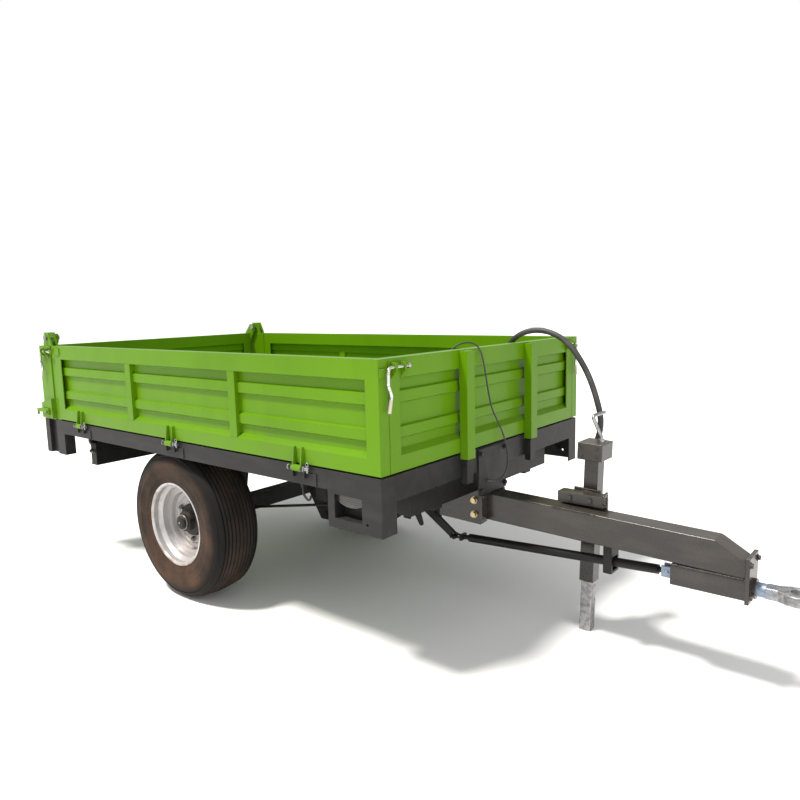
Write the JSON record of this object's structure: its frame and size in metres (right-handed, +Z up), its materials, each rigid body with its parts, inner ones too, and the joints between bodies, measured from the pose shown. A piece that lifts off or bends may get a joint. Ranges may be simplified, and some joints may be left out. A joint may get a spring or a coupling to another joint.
{
  "type": "tipping farm trailer",
  "caption": "Single-axle tow-behind tipping farm trailer with drop-side cargo bed, box drawbar with overrun brake linkage, tow eye and parking jack.",
  "frame": {"origin": "on the ground under the middle of the trailer's overall box, with the bed level", "axes": "+X forward along the drawbar to the tow eye, +Y to the trailer's left, +Z up"},
  "size_m": [3.984, 1.673, 1.336],
  "materials": {
    "chassis_black": "semi-gloss black paint, dusty",
    "underbody_black": "satin black paint",
    "frame_grey": "dark grey satin paint",
    "body_green": "gloss lime green enamel",
    "yellow_zinc": "yellow zinc plate",
    "zinc": "bright zinc plate",
    "chrome": "bright chromed rod",
    "cast_steel": "machined and forged steel",
    "rim_silver": "silver wheel paint",
    "hub_black": "satin black paint",
    "tyre": "ribbed rubber, dusty",
    "lamp_red": "red lens",
    "lamp_dark": "smoked lens",
    "cord_black": "black rubber",
    "plug_black": "black plastic",
    "brass": "turned brass"
  },
  "bodies": {
    "chassis": {"chassis_frame": "chassis_black", "axle_beam": "chassis_black", "drawbar_tube": "frame_grey", "drawbar_socket": "frame_grey", "drawbar_bolts": "yellow_zinc", "overrun_housing": "frame_grey", "push_rod_guide": "chassis_black", "jack_bracket": "frame_grey", "hose_pipe": "chassis_black", "rear_lamps": "lamp_red"},
    "right_wheel": {"right_tyre": "tyre", "right_rim": "rim_silver", "right_hub": "hub_black", "right_wheel_nuts": "zinc"},
    "left_wheel": {"left_tyre": "tyre", "left_rim": "rim_silver", "left_hub": "hub_black", "left_wheel_nuts": "zinc"},
    "bed": {"bed_bearers": "underbody_black", "bed_floor": "body_green", "pivot_pins": "zinc", "skirt_rails": "frame_grey", "front_corner_brackets": "frame_grey", "marker_lamps": "lamp_dark", "rear_corner_brackets": "frame_grey", "front_skirt_plates": "frame_grey", "front_wall": "body_green", "front_posts": "body_green", "board_hinge_pins": "zinc", "rear_pillars": "body_green", "latch_brackets": "body_green", "cable": "cord_black", "cable_plug": "plug_black", "hose": "cord_black", "hose_coil": "cord_black", "hose_coupler": "brass"},
    "right_side_board": {"right_board": "body_green"},
    "left_side_board": {"left_board": "body_green"},
    "tail_board": {"tailgate": "body_green"},
    "front_right_handle": {"front_right_latch": "chrome"},
    "front_left_handle": {"front_left_latch": "chrome"},
    "rear_right_handle": {"rear_right_latch": "chrome"},
    "rear_left_handle": {"rear_left_latch": "chrome"},
    "right_lock": {"right_gate_lock": "body_green"},
    "left_lock": {"left_gate_lock": "body_green"},
    "tow_bar": {"tow_shaft": "cast_steel"},
    "brake_push_rod": {"push_rod": "chassis_black"},
    "brake_crank": {"bell_crank": "chassis_black"},
    "right_pull_rod": {"right_brake_rod": "chassis_black"},
    "left_pull_rod": {"left_brake_rod": "chassis_black"},
    "right_cam_lever": {"right_brake_lever": "chassis_black"},
    "left_cam_lever": {"left_brake_lever": "chassis_black"},
    "jack": {"jack_tube": "frame_grey", "jack_head": "frame_grey"},
    "jack_foot": {"jack_leg": "frame_grey"},
    "jack_handle": {"jack_crank": "zinc"},
    "ram": {"ram_barrel": "chassis_black"},
    "ram_middle": {"ram_stage_1": "chrome"},
    "ram_inner": {"ram_stage_2": "chrome"},
    "ram_end": {"ram_rod": "chrome"}
  },
  "joints": [
    {"name": "right_wheel_spin", "type": "hinge", "parent": "chassis", "child": "right_wheel", "pos_m": [-0.683, -0.652, 0.385], "axis": [0, 1, 0], "continuous": true},
    {"name": "left_wheel_spin", "type": "hinge", "parent": "chassis", "child": "left_wheel", "pos_m": [-0.683, 0.652, 0.385], "axis": [0, 1, 0], "continuous": true},
    {"name": "bed_tip", "type": "hinge", "parent": "chassis", "child": "bed", "pos_m": [-1.573, 0, 0.73], "axis": [0, -1, 0], "range_deg": [0, 40]},
    {"name": "right_board_drop", "type": "hinge", "parent": "bed", "child": "right_side_board", "pos_m": [-0.523, -0.815, 0.815], "axis": [1, 0, 0], "range_deg": [0, 172]},
    {"name": "left_board_drop", "type": "hinge", "parent": "bed", "child": "left_side_board", "pos_m": [-0.523, 0.815, 0.815], "axis": [-1, 0, 0], "range_deg": [0, 172]},
    {"name": "tailgate_swing", "type": "hinge", "parent": "bed", "child": "tail_board", "pos_m": [-1.863, 0, 1.305], "axis": [0, 1, 0], "range_deg": [0, 90]},
    {"name": "front_right_latch_turn", "type": "hinge", "parent": "bed", "child": "front_right_handle", "pos_m": [0.744, -0.7, 1.227], "axis": [0, -1, 0], "range_deg": [0, 150]},
    {"name": "rear_right_latch_turn", "type": "hinge", "parent": "bed", "child": "rear_right_handle", "pos_m": [-1.851, -0.817, 1.227], "axis": [-1, 0, 0], "range_deg": [0, 120]},
    {"name": "right_gate_lock_lift", "type": "hinge", "parent": "bed", "child": "right_lock", "pos_m": [-1.865, -0.8235, 0.871], "axis": [0, 1, 0], "range_deg": [0, 60]},
    {"name": "front_left_latch_turn", "type": "hinge", "parent": "bed", "child": "front_left_handle", "pos_m": [0.744, 0.7, 1.227], "axis": [0, -1, 0], "range_deg": [0, 150]},
    {"name": "rear_left_latch_turn", "type": "hinge", "parent": "bed", "child": "rear_left_handle", "pos_m": [-1.851, 0.817, 1.227], "axis": [1, 0, 0], "range_deg": [0, 120]},
    {"name": "left_gate_lock_lift", "type": "hinge", "parent": "bed", "child": "left_lock", "pos_m": [-1.865, 0.8235, 0.871], "axis": [0, 1, 0], "range_deg": [0, 60]},
    {"name": "tow_push", "type": "slide", "parent": "chassis", "child": "tow_bar", "axis": [-1, 0, 0], "range_m": [0, 0.03], "stiffness_N_per_m": 20000, "springref_m": -0.015},
    {"name": "push_rod_swing", "type": "hinge", "parent": "tow_bar", "child": "brake_push_rod", "pos_m": [1.492, 0, 0.4], "axis": [0, -1, 0], "range_deg": [0, 2.2]},
    {"name": "brake_crank_turn", "type": "hinge", "parent": "chassis", "child": "brake_crank", "pos_m": [0.315, 0, 0.455], "axis": [0, 1, 0], "range_deg": [0, 13.5]},
    {"name": "right_brake_rod_pull", "type": "slide", "parent": "chassis", "child": "right_pull_rod", "axis": [1, 0, 0], "range_m": [0, 0.012]},
    {"name": "right_brake_lever_turn", "type": "hinge", "parent": "chassis", "child": "right_cam_lever", "pos_m": [-0.613, -0.515, 0.35], "axis": [0, 1, 0], "range_deg": [0, 10]},
    {"name": "left_brake_rod_pull", "type": "slide", "parent": "chassis", "child": "left_pull_rod", "axis": [1, 0, 0], "range_m": [0, 0.012]},
    {"name": "left_brake_lever_turn", "type": "hinge", "parent": "chassis", "child": "left_cam_lever", "pos_m": [-0.613, 0.515, 0.35], "axis": [0, 1, 0], "range_deg": [0, 10]},
    {"name": "jack_swing", "type": "hinge", "parent": "chassis", "child": "jack", "pos_m": [1.123, 0.13, 0.615], "axis": [0, -1, 0], "range_deg": [0, 90]},
    {"name": "jack_handle_turn", "type": "hinge", "parent": "jack", "child": "jack_handle", "pos_m": [1.15722, 0.13, 0.84995], "axis": [0.0349, 0, 0.9994], "range_deg": [0, 4320]},
    {"name": "jack_foot_lift", "type": "slide", "parent": "jack", "child": "jack_foot", "axis": [0.0349, 0, 0.9994], "range_m": [0, 0.3]},
    {"name": "ram_swing", "type": "hinge", "parent": "chassis", "child": "ram", "pos_m": [-0.313, 0, 0.33], "axis": [0, -1, 0], "range_deg": [0, 17.9]},
    {"name": "ram_middle_slide", "type": "slide", "parent": "ram", "child": "ram_middle", "axis": [0.0948, 0, 0.9955], "range_m": [0, 0.2905]},
    {"name": "ram_inner_slide", "type": "slide", "parent": "ram_middle", "child": "ram_inner", "axis": [0.0948, 0, 0.9955], "range_m": [0, 0.2905]},
    {"name": "ram_end_slide", "type": "slide", "parent": "ram_inner", "child": "ram_end", "axis": [0.0948, 0, 0.9955], "range_m": [0, 0.2905]}
  ],
  "couplings": [
    {"joint": "ram_swing", "follows": "bed_tip", "ratio": 0.4414},
    {"joint": "ram_middle_slide", "follows": "bed_tip", "m_per_rad": 0.41441},
    {"joint": "ram_inner_slide", "follows": "bed_tip", "m_per_rad": 0.41441},
    {"joint": "ram_end_slide", "follows": "bed_tip", "m_per_rad": 0.41441},
    {"joint": "push_rod_swing", "follows": "tow_push", "rad_per_m": 1.1197},
    {"joint": "brake_crank_turn", "follows": "tow_push", "rad_per_m": 7.3321},
    {"joint": "right_brake_rod_pull", "follows": "tow_push", "ratio": 0.36365},
    {"joint": "right_brake_lever_turn", "follows": "tow_push", "rad_per_m": 5.3711},
    {"joint": "left_brake_rod_pull", "follows": "tow_push", "ratio": 0.36365},
    {"joint": "left_brake_lever_turn", "follows": "tow_push", "rad_per_m": 5.3711},
    {"joint": "jack_foot_lift", "follows": "jack_handle_turn", "m_per_rad": 0.0039785}
  ]
}
